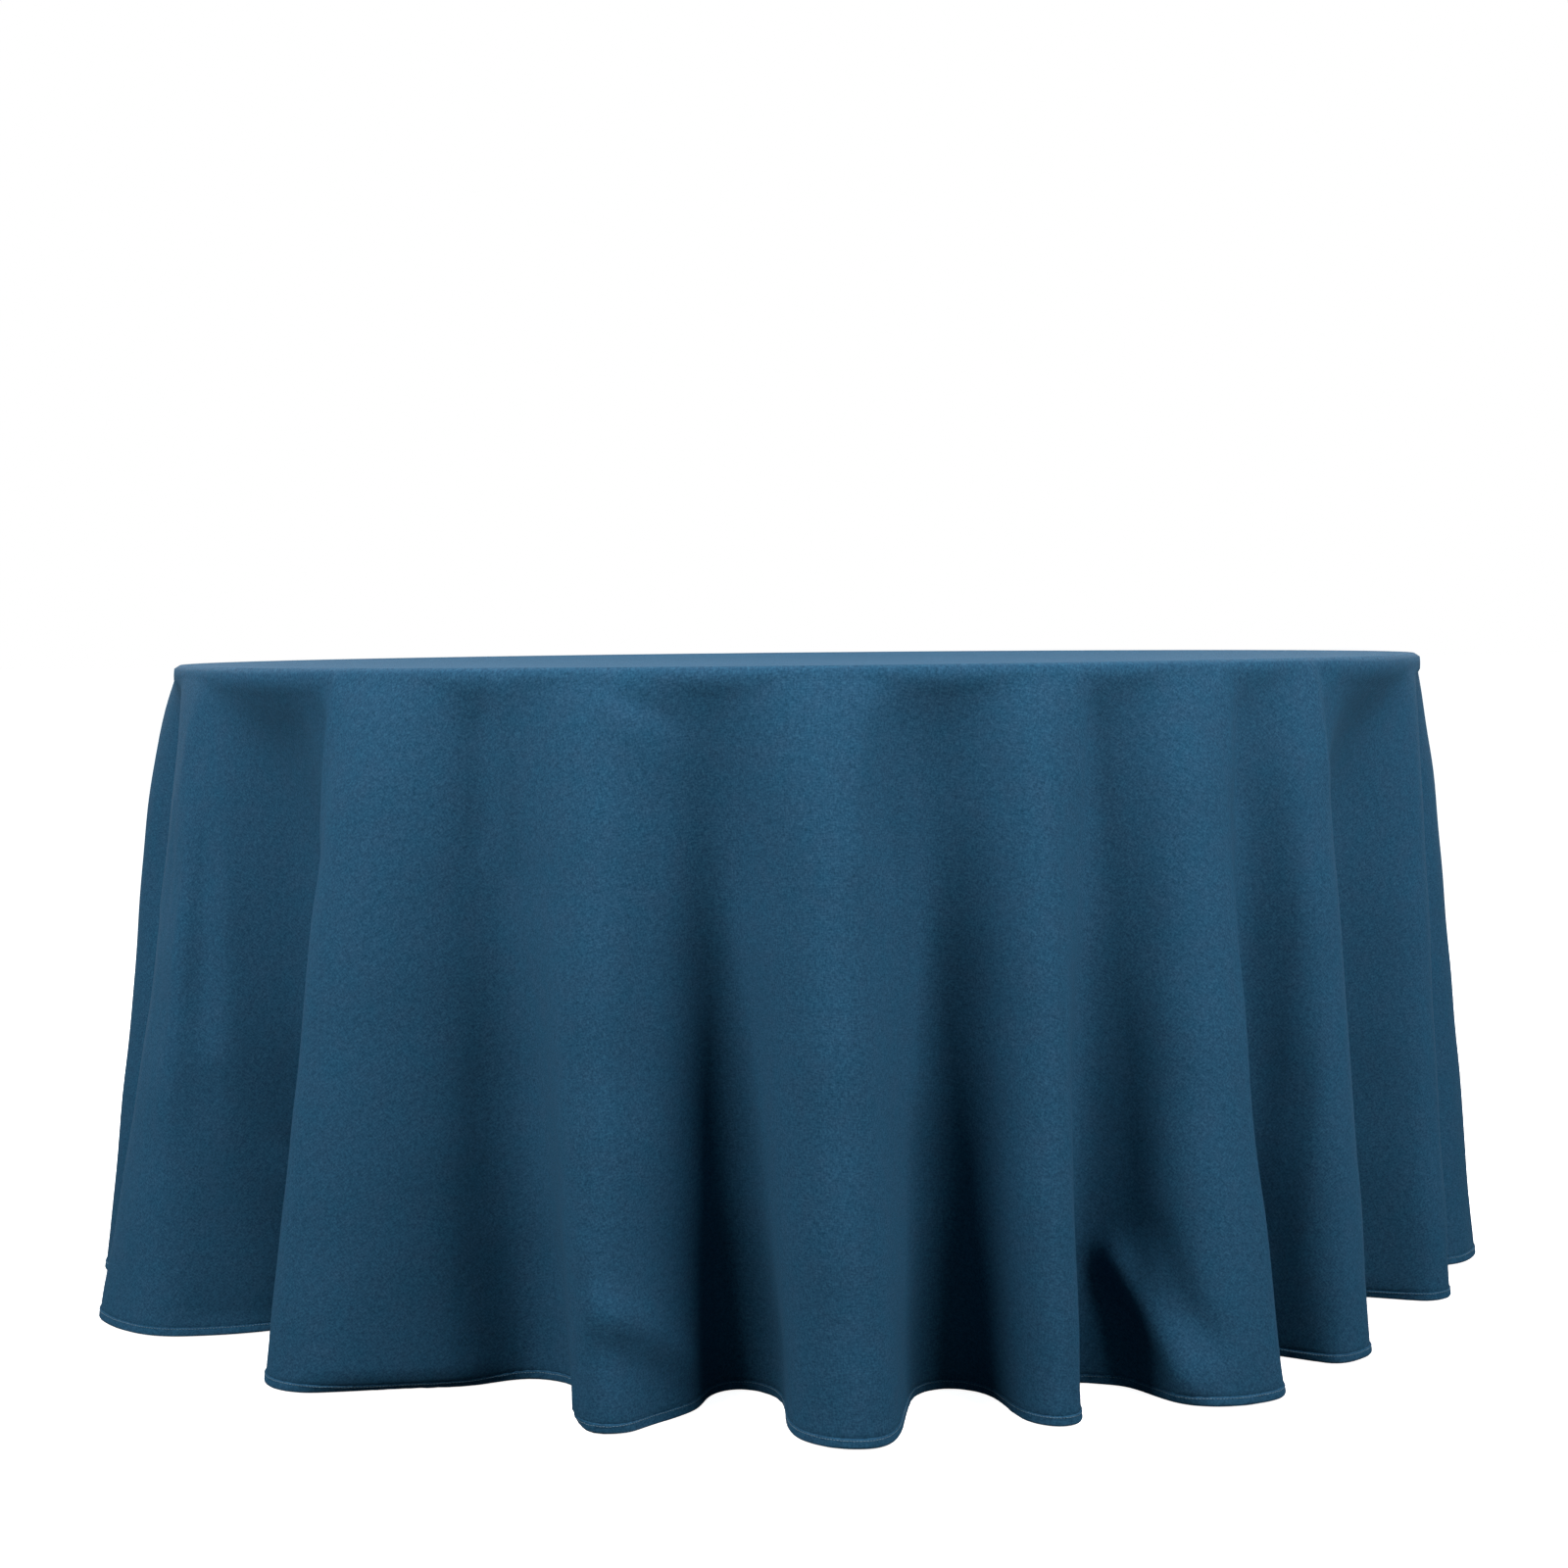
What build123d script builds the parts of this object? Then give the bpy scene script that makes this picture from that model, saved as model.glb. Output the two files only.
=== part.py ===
from build123d import *
import math
import os

# Floor-length round tablecloth over a round folding banquet table.
# Units are millimetres, +Z is up. The origin is on the floor, under the centre of the top.
# The front of the table looks along -Y. "left" is -X and "right" is +X.

os.makedirs("parts", exist_ok=True)

# ---------------------------------------------------------------- driving dimensions
TABLE_H = 742.0            # top of the laminate above the floor
TOP_D = 1524.0             # table top over its edge moulding (60 in)
PANEL_D = 1512.0           # plywood disc inside the moulding
PANEL_T = 18.0
LAMINATE_T = 0.8
MOULD_H = 20.0
MOULD_NOSE_R = 5.2
MOULD_GROOVE_T = 2.2
MOULD_BARB_T = 2.0
MOULD_BARB_DEPTH = 8.0

TUBE_D = 28.6              # leg, pivot and stretcher tube
TUBE_WALL = 1.6
PIVOT_X = 430.0            # pivot axes run along Y
PIVOT_Z = 688.0
SPLAY = 3.0                # degrees that each leg frame leans outward at its foot
WIDE_Y = 290.0             # leg centre lines of the wide (left) frame
NARROW_Y = 252.0           # leg centre lines of the narrow (right) frame, which nests inside
STRETCHER_S = 140.0        # stretcher below the pivot, along the leg
GLIDE_D = 34.0
GLIDE_LEN = 30.0
GLIDE_FLOOR = 4.0          # plastic under the end of the tube

BRACKET_T = 3.0
CHEEK_T = 5.0
CHEEK_GAP = 3.7            # side play between a leg tube and its bracket's cheek
JOURNAL_CLEAR = 0.08       # radial running clearance of a pivot tube in its bracket

RUNNER_Y = 362.0
RUNNER_W = 30.0
RUNNER_H = 45.0
RUNNER_L = 960.0

CAM_R = 30.0
CAM_T = 6.0
CAM_NOTCH_W = 10.8
CAM_NOTCH_R = 21.5
BOLT_D = 10.0
BOLT_CLEAR = 0.08
BOLT_GAP = 0.5             # tip of the lock bolt to the rim of the cam
BOLT_LEN = 74.0
BOLT_TRAVEL = 6.0

CLOTH_D = 3020.0           # finished flat diameter of the cloth (a nominal 120 in round), held here for reference
CLOTH_T = 2.5              # radial thickness of the plain cloth solid
CLOTH_GAP = 0.4            # cloth above the laminate
CLOTH_RIM_R = 763.2        # inside of the skirt at the rim
HEM_Z = 2.0                # hem above the floor
HEM_R = 860.0              # crest of a fold at the hem, outside
FOLDS = 20
FOLD_DEPTH_HEM = 88.0      # crest to valley at the hem
HEM_H = 9.0
HEM_T = 1.6
STITCH_W = 0.8

panel_top = TABLE_H - LAMINATE_T
panel_bot = panel_top - PANEL_T
tube_r = TUBE_D / 2


def deg(a):
    return math.radians(a)


def save(shape, name):
    export_step(shape, "parts/" + name + ".step")


def cyl(r, p0, p1):
    """Solid cylinder of radius r from point p0 to point p1."""
    a, b = Vector(*p0), Vector(*p1)
    d = b - a
    pl = Plane(origin=a, z_dir=d)
    return pl * Cylinder(r, d.length, align=(Align.CENTER, Align.CENTER, Align.MIN))


def tube(r, wall, p0, p1):
    a, b = Vector(*p0), Vector(*p1)
    d = b - a
    pl = Plane(origin=a, z_dir=d)
    return pl * (
        Cylinder(r, d.length, align=(Align.CENTER, Align.CENTER, Align.MIN))
        - Cylinder(r - wall, d.length, align=(Align.CENTER, Align.CENTER, Align.MIN))
    )


def box(x0, x1, y0, y1, z0, z1):
    return Pos((x0 + x1) / 2, (y0 + y1) / 2, (z0 + z1) / 2) * Box(x1 - x0, y1 - y0, z1 - z0)


def wood_screw(x, y, z_face, length, shank=4.0, head=8.4):
    """Pan-head wood screw driven upward, its head's flat against z_face."""
    body = Pos(x, y, z_face) * Cylinder(shank / 2, length - 3, align=(Align.CENTER, Align.CENTER, Align.MIN))
    tip = Pos(x, y, z_face + length - 3) * Cone(shank / 2, 0.4, 3, align=(Align.CENTER, Align.CENTER, Align.MIN))
    cap = Pos(x, y, z_face - 2.4) * Cone(head / 2 - 1.1, head / 2, 1.2, align=(Align.CENTER, Align.CENTER, Align.MIN))
    rim = Pos(x, y, z_face - 1.2) * Cylinder(head / 2, 1.2, align=(Align.CENTER, Align.CENTER, Align.MIN))
    s = body + tip + cap + rim
    s -= Pos(x, y, z_face - 2.4) * Box(3.6, 0.9, 2.4)
    s -= Pos(x, y, z_face - 2.4) * Box(0.9, 3.6, 2.4)
    return s


def screw_hole(x, y, z0, length, shank=4.0):
    return Pos(x, y, z0 - 0.5) * Cylinder(shank / 2 + 0.05, length + 1.0, align=(Align.CENTER, Align.CENTER, Align.MIN))


# ---------------------------------------------------------------- screw positions
bracket_screws = []        # (x, y) of each bracket screw
cheek_y = {}
for side, ly in ((-1, WIDE_Y), (1, NARROW_Y)):
    inner = ly + tube_r + CHEEK_GAP
    cheek_y[side] = inner
    for fy in (-1, 1):
        for dx in (-22, 22):
            bracket_screws.append((side * PIVOT_X + dx, fy * (inner - 14.0)))
            bracket_screws.append((side * PIVOT_X + dx, fy * (inner + CHEEK_T + 14.0)))

runner_screws = [(x, fy * RUNNER_Y) for fy in (-1, 1) for x in (-420, -150, 150, 420)]

HOUSE_X0 = 6.0             # lock housing's front wall, from the rim of the cam
HOUSE_L = 44.0
WALL_T = 4.0
HOUSE_W = 34.0
lock_screws = []
for side in (-1, 1):
    rim = side * (PIVOT_X - CAM_R)
    for dx in (9.0 + WALL_T + 2, HOUSE_L - 3.0):
        for dy in (-11.0, 11.0):
            lock_screws.append((rim - side * (HOUSE_X0 + dx), dy))

# ---------------------------------------------------------------- table top
panel = Pos(0, 0, panel_bot) * Cylinder(PANEL_D / 2, PANEL_T, align=(Align.CENTER, Align.CENTER, Align.MIN))
groove = Pos(0, 0, panel_bot + PANEL_T / 2) * (
    Cylinder(PANEL_D / 2 + 5, MOULD_GROOVE_T) - Cylinder(PANEL_D / 2 - MOULD_BARB_DEPTH - 0.4, MOULD_GROOVE_T)
)
panel -= groove
for x, y in bracket_screws + lock_screws:
    panel -= screw_hole(x, y, panel_bot, 13.0)
for x, y in runner_screws:
    panel -= screw_hole(x, y, panel_bot, 14.0, 5.0)
save(panel, "top_panel")

laminate = Pos(0, 0, panel_top) * Cylinder(PANEL_D / 2, LAMINATE_T, align=(Align.CENTER, Align.CENTER, Align.MIN))
save(laminate, "top_laminate")

mz0 = TABLE_H - MOULD_H


def nose(cz, a0):
    """Quarter round of the moulding's outer corner, as short chords from angle a0 to a0 + 90 degrees."""
    cr = TOP_D / 2 - MOULD_NOSE_R
    return [(cr + MOULD_NOSE_R * math.cos(math.radians(a0 + 15 * k)), cz + MOULD_NOSE_R * math.sin(math.radians(a0 + 15 * k)))
            for k in range(7)]


with BuildPart() as mould:
    with BuildSketch(Plane.XZ) as sk:
        with BuildLine() as ln:
            Polyline(
                (PANEL_D / 2 + 0.05, mz0),
                *nose(mz0 + MOULD_NOSE_R, -90),
                *nose(TABLE_H - MOULD_NOSE_R, 0),
                (PANEL_D / 2 + 0.05, TABLE_H),
                (PANEL_D / 2 + 0.05, panel_bot + PANEL_T / 2 + MOULD_BARB_T / 2),
                (PANEL_D / 2 - MOULD_BARB_DEPTH, panel_bot + PANEL_T / 2 + MOULD_BARB_T / 2 - 0.4),
                (PANEL_D / 2 - MOULD_BARB_DEPTH, panel_bot + PANEL_T / 2 - MOULD_BARB_T / 2 + 0.4),
                (PANEL_D / 2 + 0.05, panel_bot + PANEL_T / 2 - MOULD_BARB_T / 2),
                close=True,
            )
        make_face()
    revolve(axis=Axis.Z)
mould_solid = mould.part
save(mould_solid, "edge_moulding")

for name, fy in (("runner_front", -1), ("runner_rear", 1)):
    r = box(-RUNNER_L / 2, RUNNER_L / 2, fy * RUNNER_Y - RUNNER_W / 2, fy * RUNNER_Y + RUNNER_W / 2, panel_bot - RUNNER_H, panel_bot)
    r = chamfer(r.edges().filter_by(Axis.Y).group_by(Axis.Z)[0], 18)
    r = chamfer(r.edges().filter_by(Axis.X).group_by(Axis.Z)[0], 3)
    for x, y in runner_screws:
        if y * fy > 0:
            r -= screw_hole(x, y, panel_bot - RUNNER_H, RUNNER_H, 5.0)
    save(r, name)

save(Compound(children=[wood_screw(x, y, panel_bot - RUNNER_H, RUNNER_H + 13.0, 5.0, 10.5) for x, y in runner_screws]), "runner_screws")


# ---------------------------------------------------------------- pivot brackets
def pivot_bracket(side, fy):
    x = side * PIVOT_X
    yi = fy * cheek_y[side]
    yo = fy * (cheek_y[side] + CHEEK_T)
    ya, yb = sorted((yi, yo))
    base = box(x - 32, x + 32, min(fy * (cheek_y[side] - 23), fy * (cheek_y[side] + CHEEK_T + 23)),
               max(fy * (cheek_y[side] - 23), fy * (cheek_y[side] + CHEEK_T + 23)), panel_bot - BRACKET_T, panel_bot)
    base = fillet(base.edges().filter_by(Axis.Z), 6)
    cheek = box(x - 24, x + 24, ya, yb, PIVOT_Z, panel_bot - BRACKET_T / 2)
    nose = cyl(24, (x, ya, PIVOT_Z), (x, yb, PIVOT_Z))
    b = base + cheek + nose
    b -= cyl(tube_r + JOURNAL_CLEAR, (x, ya - 2, PIVOT_Z), (x, yb + 2, PIVOT_Z))
    for sx, sy in bracket_screws:
        if abs(sx - x) < 40 and sy * fy > 0:
            b -= screw_hole(sx, sy, panel_bot - BRACKET_T, BRACKET_T)
    return b


for side, sn in ((-1, "left"), (1, "right")):
    for fy, fn in ((-1, "front"), (1, "rear")):
        save(pivot_bracket(side, fy), sn + "_bracket_" + fn)

save(Compound(children=[wood_screw(x, y, panel_bot - BRACKET_T, 14.0) for x, y in bracket_screws]), "bracket_screws")


# ---------------------------------------------------------------- folding leg frames
def leg_frame(side, ly, sn):
    px = side * PIVOT_X
    d = Vector(side * math.sin(deg(SPLAY)), 0, -math.cos(deg(SPLAY)))
    full = PIVOT_Z / math.cos(deg(SPLAY))
    y_end = cheek_y[side] + CHEEK_T + 4.0
    pivot = tube(tube_r, TUBE_WALL, (px, -y_end, PIVOT_Z), (px, y_end, PIVOT_Z))
    save(pivot, sn + "_pivot_tube")
    solid_pivot = cyl(tube_r, (px, -y_end, PIVOT_Z), (px, y_end, PIVOT_Z))
    floor = box(-900, 900, -900, 900, -100, 0)
    leg_solids = {}
    for fy, fn in ((-1, "front"), (1, "rear")):
        y = fy * ly
        end = full - GLIDE_FLOOR - tube_r * math.tan(deg(SPLAY))
        p1 = (px + d.X * end, y, PIVOT_Z + d.Z * end)
        leg = tube(tube_r, TUBE_WALL, (px, y, PIVOT_Z), p1) - solid_pivot
        save(leg, sn + "_leg_" + fn)
        leg_solids[fy] = cyl(tube_r, (px, y, PIVOT_Z), p1)
        # plastic foot: a cup over the tube's end, its underside flat on the floor
        g0 = full - GLIDE_LEN
        g1 = full + 6
        a = (px + d.X * g0, y, PIVOT_Z + d.Z * g0)
        b = (px + d.X * g1, y, PIVOT_Z + d.Z * g1)
        cup = cyl(GLIDE_D / 2, a, b)
        cup = chamfer(cup.edges().sort_by(Axis.Z)[-1], 1.2)
        cup -= floor
        cup = fillet(cup.edges().group_by(Axis.Z)[0], 1.6)
        cup -= cyl(tube_r, (px, y, PIVOT_Z), p1)
        save(cup, sn + "_foot_" + fn)
    sx = px + d.X * STRETCHER_S
    sz = PIVOT_Z + d.Z * STRETCHER_S
    st = tube(tube_r, TUBE_WALL, (sx, -ly, sz), (sx, ly, sz)) - leg_solids[-1] - leg_solids[1]
    st = st.solids().sort_by(SortBy.VOLUME)[-1]
    save(st, sn + "_stretcher")

    # lock cam on the pivot tube: a sector plate with two notches, one for each end of the fold
    inward = -side
    cam = cyl(CAM_R, (px, -CAM_T / 2, PIVOT_Z), (px, CAM_T / 2, PIVOT_Z))
    keep = []
    steps = 24
    a0, a1 = 16.0, -(90.0 + SPLAY + 16.0)
    pts = [(0.0, 0.0)]
    for i in range(steps + 1):
        a = deg(a0 + (a1 - a0) * i / steps)
        pts.append((inward * 60 * math.cos(a), 60 * math.sin(a)))
    sector = Plane(origin=(px, 20, PIVOT_Z), x_dir=(1, 0, 0), z_dir=(0, -1, 0)) * make_face(Polyline(*pts, close=True))
    sector = extrude(sector, 40)
    cam = cam & sector
    for a in (0.0, -(90.0 + SPLAY)):
        cx, cz = inward * math.cos(deg(a)), math.sin(deg(a))
        ux, uz = -cz, cx
        q = []
        for s, t in ((CAM_NOTCH_R, -1), (CAM_R + 5, -1), (CAM_R + 5, 1), (CAM_NOTCH_R, 1)):
            q.append((cx * s + ux * t * CAM_NOTCH_W / 2, cz * s + uz * t * CAM_NOTCH_W / 2))
        notch = Plane(origin=(px, 20, PIVOT_Z), x_dir=(1, 0, 0), z_dir=(0, -1, 0)) * make_face(Polyline(*q, close=True))
        cam -= extrude(notch, 40)
    cam -= solid_pivot
    cam = cam.solids().sort_by(SortBy.VOLUME)[-1]
    save(cam, sn + "_lock_cam")


leg_frame(-1, WIDE_Y, "left")
leg_frame(1, NARROW_Y, "right")


# ---------------------------------------------------------------- leg locks
def lock(side, sn):
    rim = side * (PIVOT_X - CAM_R)
    inward = -side

    def X(v):
        return rim + inward * v

    def bx(v0, v1, *rest):
        a, b = sorted((X(v0), X(v1)))
        return box(a, b, *rest)

    w = HOUSE_W / 2
    zlow = PIVOT_Z - 12
    base = bx(HOUSE_X0, HOUSE_X0 + HOUSE_L, -w, w, panel_bot - BRACKET_T, panel_bot)
    front = bx(HOUSE_X0, HOUSE_X0 + WALL_T, -w + 6, w - 6, zlow, panel_bot - BRACKET_T)
    back = bx(HOUSE_X0 + HOUSE_L - 20, HOUSE_X0 + HOUSE_L - 20 + WALL_T, -w + 6, w - 6, zlow, panel_bot - BRACKET_T)
    h = base + front + back
    h -= cyl(BOLT_D / 2 + BOLT_CLEAR, (X(-5), 0, PIVOT_Z), (X(HOUSE_X0 + HOUSE_L + 5), 0, PIVOT_Z))
    for sx, sy in lock_screws:
        if sx * side > 0:
            h -= screw_hole(sx, sy, panel_bot - BRACKET_T, BRACKET_T)
    save(h, sn + "_lock_housing")

    # bolt with a collar for the spring and a cross bar to pull on
    t0 = BOLT_GAP
    b = cyl(BOLT_D / 2, (X(t0), 0, PIVOT_Z), (X(t0 + BOLT_LEN), 0, PIVOT_Z))
    b = chamfer(b.edges().filter_by(GeomType.CIRCLE), 0.8)
    collar = cyl(8.0, (X(HOUSE_X0 + WALL_T + 0.6), 0, PIVOT_Z), (X(HOUSE_X0 + WALL_T + 3.1), 0, PIVOT_Z))
    bar = cyl(4.5, (X(t0 + BOLT_LEN - 6), -19, PIVOT_Z), (X(t0 + BOLT_LEN - 6), 19, PIVOT_Z))
    bar = fillet(bar.edges().filter_by(GeomType.CIRCLE), 2.0)
    save(b + collar + bar, sn + "_lock_bolt")

    # return spring between the collar and the back wall
    s0 = HOUSE_X0 + WALL_T + 3.3
    s1 = HOUSE_X0 + HOUSE_L - 20 - 0.2
    wire = 0.6
    turns = 4.5
    pitch = (s1 - s0 - 2 * wire) / turns
    pl = Plane(origin=(X(s0 + wire), 0, PIVOT_Z), x_dir=(0, 1, 0), z_dir=(inward, 0, 0))
    helix = Helix(pitch=pitch, height=pitch * turns, radius=6.6)
    prof = Plane(origin=helix @ 0, z_dir=helix % 0) * Circle(wire)
    coil = sweep(prof, path=helix, is_frenet=True)
    save(pl * coil, sn + "_lock_spring")


lock(-1, "left")
lock(1, "right")
save(Compound(children=[wood_screw(x, y, panel_bot - BRACKET_T, 14.0) for x, y in lock_screws]), "lock_screws")


# ---------------------------------------------------------------- tablecloth
def skirt_r(a, z, offset):
    """Radius of the skirt at angle a (radians) and height z, offset outward from its inside."""
    t = 1.0 - (z - HEM_Z) / (TABLE_H - HEM_Z)
    t = min(max(t, 0.0), 1.05)
    crest = CLOTH_RIM_R + (HEM_R - CLOTH_T - CLOTH_RIM_R) * t ** 0.85
    depth = FOLD_DEPTH_HEM * t ** 0.85
    return crest - depth * 0.5 * (1 - math.cos(FOLDS * a)) + offset


PER_FOLD = 8


def ring_pts(z, offset):
    n = FOLDS * PER_FOLD
    pts = []
    for i in range(n):
        a = 2 * math.pi * i / n
        r = skirt_r(a, z, offset)
        pts.append((r * math.cos(a), r * math.sin(a), z))
    return pts


def ring_solid(levels):
    """Closed ruled solid through a stack of fold outlines, given as (z, height for the outline, offset)."""
    wires = []
    for z, zz, off in levels:
        wires.append(Wire.make_polygon([Vector(x, y, z) for x, y, _ in ring_pts(zz, off)], close=True))
    return Solid.make_loft(wires, ruled=True)


cloth_in_top = TABLE_H + CLOTH_GAP
cloth_out_top = cloth_in_top + CLOTH_T
heights = [HEM_Z, 250.0, 500.0, 680.0]
outer = ring_solid([(h, h, CLOTH_T) for h in heights] + [(TABLE_H - 6, TABLE_H - 6, CLOTH_T), (cloth_out_top, TABLE_H, CLOTH_T - 2.0)])
inner = ring_solid([(HEM_Z - 8, HEM_Z - 8, 0.0)] + [(h, h, 0.0) for h in heights[1:]] + [(cloth_in_top, TABLE_H, 0.0)])
cloth = outer - inner
save(cloth, "tablecloth_panel")

# the panel's edge turned up on the inside, and the line of stitches that holds it on the outside
hem = ring_solid([(HEM_Z, HEM_Z, -0.15), (HEM_Z + HEM_H, HEM_Z + HEM_H, -0.15)]) - ring_solid(
    [(HEM_Z - 1, HEM_Z - 1, -0.15 - HEM_T), (HEM_Z + HEM_H + 1, HEM_Z + HEM_H + 1, -0.15 - HEM_T)]
)
save(hem, "tablecloth_hem")
sz = HEM_Z + HEM_H
stitch = ring_solid([(sz - STITCH_W / 2, sz - STITCH_W / 2, CLOTH_T + 0.15 + STITCH_W), (sz + STITCH_W / 2, sz + STITCH_W / 2, CLOTH_T + 0.15 + STITCH_W)]) - ring_solid(
    [(sz - 3, sz - 3, CLOTH_T + 0.15), (sz + 3, sz + 3, CLOTH_T + 0.15)]
)
save(stitch, "hem_stitching")

# blank sewn-in label inside the skirt, at the back, flat against the inside of a valley
LABEL_W = 28.0
LABEL_H = 40.0
LABEL_T = 0.6
label_z = HEM_Z + HEM_H + 3
label_a = math.pi / 2 + math.pi / FOLDS
lr = skirt_r(label_a, label_z, 0.0) - 1.6
label = Rot(0, 0, math.degrees(label_a) - 90) * box(-LABEL_W / 2, LABEL_W / 2, lr - LABEL_T, lr, label_z, label_z + LABEL_H)
save(label, "care_label")
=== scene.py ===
import math
import bpy
import numpy as np
from mathutils import Matrix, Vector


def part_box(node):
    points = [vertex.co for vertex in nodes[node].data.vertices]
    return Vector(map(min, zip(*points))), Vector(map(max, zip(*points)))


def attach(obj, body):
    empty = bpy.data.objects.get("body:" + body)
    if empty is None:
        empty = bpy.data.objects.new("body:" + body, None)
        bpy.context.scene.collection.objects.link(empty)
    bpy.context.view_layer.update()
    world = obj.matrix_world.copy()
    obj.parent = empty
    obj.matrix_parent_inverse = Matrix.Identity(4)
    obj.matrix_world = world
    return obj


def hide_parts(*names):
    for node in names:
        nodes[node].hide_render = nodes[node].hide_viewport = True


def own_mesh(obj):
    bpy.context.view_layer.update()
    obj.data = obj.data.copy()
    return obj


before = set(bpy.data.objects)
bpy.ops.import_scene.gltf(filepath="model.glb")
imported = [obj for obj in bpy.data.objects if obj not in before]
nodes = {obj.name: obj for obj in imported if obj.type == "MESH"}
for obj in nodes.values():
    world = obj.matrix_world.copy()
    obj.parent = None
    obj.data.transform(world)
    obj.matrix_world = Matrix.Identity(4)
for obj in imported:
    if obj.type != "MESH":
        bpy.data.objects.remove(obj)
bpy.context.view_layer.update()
scene = bpy.context.scene

# ------------------------------------------------------------------ sizes, metres
R_TOP = 0.762            # table top, over its edge moulding
Z_TABLE = 0.742
NOSE = 0.0052            # rounding of the moulding's outer corners
R_CUT = 1.510            # finished flat radius of the cloth
CLOTH_T = 0.0008
HALF = CLOTH_T / 2
Z_LIE = Z_TABLE + HALF + 0.0002
DROP = R_CUT - R_TOP
F4 = np.float32
TAU = 2 * math.pi

# The hem's line on the floor: (degrees from the front, positive to the right; radius from the table's axis).
FRONT = [
    (-89.5, .842), (-86.5, .868), (-81.5, .866), (-79.0, .800), (-78.2, .715), (-75.8, .668), (-73.2, .690), (-71.8, .767), (-70.9, .855), (-67.6, .881),
    (-62.0, .857), (-59.2, .832), (-58.0, .790), (-56.4, .735), (-55.8, .680), (-54.8, .632), (-52.3, .608), (-48.0, .600), (-45.0, .618), (-43.8, .672),
    (-45.1, .740), (-44.7, .808), (-42.2, .836), (-38.3, .830), (-36.2, .810), (-33.6, .778), (-30.8, .748), (-28.0, .720), (-26.4, .680), (-24.3, .662),
    (-22.2, .664), (-20.6, .668), (-19.2, .692), (-17.7, .738), (-16.5, .797), (-14.3, .823), (-12.4, .822), (-11.3, .785), (-10.2, .762), (-8.4, .728),
    (-7.8, .670), (-5.8, .649), (-3.4, .660), (-1.6, .695), (-1.3, .785), (0.0, .830), (3.0, .861), (5.2, .858), (6.5, .812), (7.8, .747), (9.6, .682),
    (12.0, .667), (14.4, .682), (15.7, .715), (15.7, .785), (16.8, .824), (19.0, .830), (20.3, .785), (20.8, .735), (21.7, .692), (23.2, .700),
    (24.6, .718), (26.5, .742), (27.1, .795), (28.8, .838), (31.8, .853), (34.9, .852), (36.6, .805), (37.0, .745), (38.0, .700), (40.0, .696), (41.6, .720),
    (42.5, .765), (43.4, .815), (45.8, .820), (48.6, .814), (49.8, .755), (50.8, .690), (52.6, .640), (56.0, .622), (60.0, .624), (62.8, .655), (64.0, .715),
    (64.7, .765), (65.6, .803), (68.6, .812), (71.2, .775), (71.8, .705), (73.8, .660), (76.2, .680), (77.0, .745), (77.8, .805), (81.5, .835), (85.6, .838),
]
# Behind, one row per fold: valley angle and radius, crest angle and radius.
BACK = [
    (90.3, .655, 99.0, .846), (107.5, .672, 115.5, .858), (125.5, .640, 136.0, .838), (145.5, .668, 154.0, .862), (162.5, .650, 171.0, .846),
    (180.5, .676, 189.0, .866), (199.5, .640, 209.5, .848), (218.5, .664, 226.0, .858), (235.0, .655, 244.5, .842), (253.5, .668, 261.0, .851),
]


# ------------------------------------------------------------------ the cloth's shape
def rows():
    """Flat radius of each ring of the sheet, from the part held on the table out to the cut edge."""
    a = [0.700, 0.716, 0.730, 0.741, 0.749, 0.7555, 0.7610, 0.7665, 0.7725, 0.7795, 0.788, 0.798]
    return np.array(a + list(np.linspace(0.810, R_CUT, 46)))


def hem_keys(f):
    keys = list(FRONT)
    for k, (v, rv, c, rc) in enumerate(BACK):
        nv, nrv = (BACK[k + 1][0], BACK[k + 1][1]) if k + 1 < len(BACK) else (267, .690)
        rv = .762 + (rv - .762) * f
        nrv = .762 + (nrv - .762) * f
        rc = .762 + (rc - .762) * (.5 + .5 * f)
        a, b = c - v, nv - c
        mid = (rv + rc) / 2
        keys += [(v, rv), (v + .34 * a, rv + .012), (v + .47 * a, mid - .02), (c - .42 * a, rc - .045), (c - .20 * a, rc - .006),
                 (c + .22 * b, rc - .006), (c + .42 * b, rc - .045), (nv - .47 * b, mid - .02), (nv - .34 * b, nrv + .012)]
    keys += [(267.0, .675), (268.8, .72), (269.6, .79)]
    return keys


def closed_curve(keys):
    """Closed centripetal Catmull-Rom curve through polar keys, 40 points a span, with its running length."""
    a = np.radians([k[0] for k in keys])
    r = np.array([k[1] for k in keys])
    P = np.stack([r * np.sin(a), -r * np.cos(a)], 1)
    m = len(P)
    out = []
    for i in range(m):
        p0, p1, p2, p3 = P[i - 1], P[i], P[(i + 1) % m], P[(i + 2) % m]
        t0 = 0
        t1 = t0 + np.linalg.norm(p1 - p0) ** .5
        t2 = t1 + np.linalg.norm(p2 - p1) ** .5
        t3 = t2 + np.linalg.norm(p3 - p2) ** .5
        t = np.linspace(t1, t2, 40, endpoint=False)[:, None]
        A1 = (t1 - t) / (t1 - t0) * p0 + (t - t0) / (t1 - t0) * p1
        A2 = (t2 - t) / (t2 - t1) * p1 + (t - t1) / (t2 - t1) * p2
        A3 = (t3 - t) / (t3 - t2) * p2 + (t - t2) / (t3 - t2) * p3
        B1 = (t2 - t) / (t2 - t0) * A1 + (t - t0) / (t2 - t0) * A2
        B2 = (t3 - t) / (t3 - t1) * A2 + (t - t1) / (t3 - t1) * A3
        out.append((t2 - t) / (t2 - t1) * B1 + (t - t1) / (t2 - t1) * B2)
    C = np.concatenate(out)
    D = np.concatenate([C, C[:1]])
    L = np.concatenate([[0], np.cumsum(np.linalg.norm(np.diff(D, axis=0), axis=1))])
    return C, L


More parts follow.
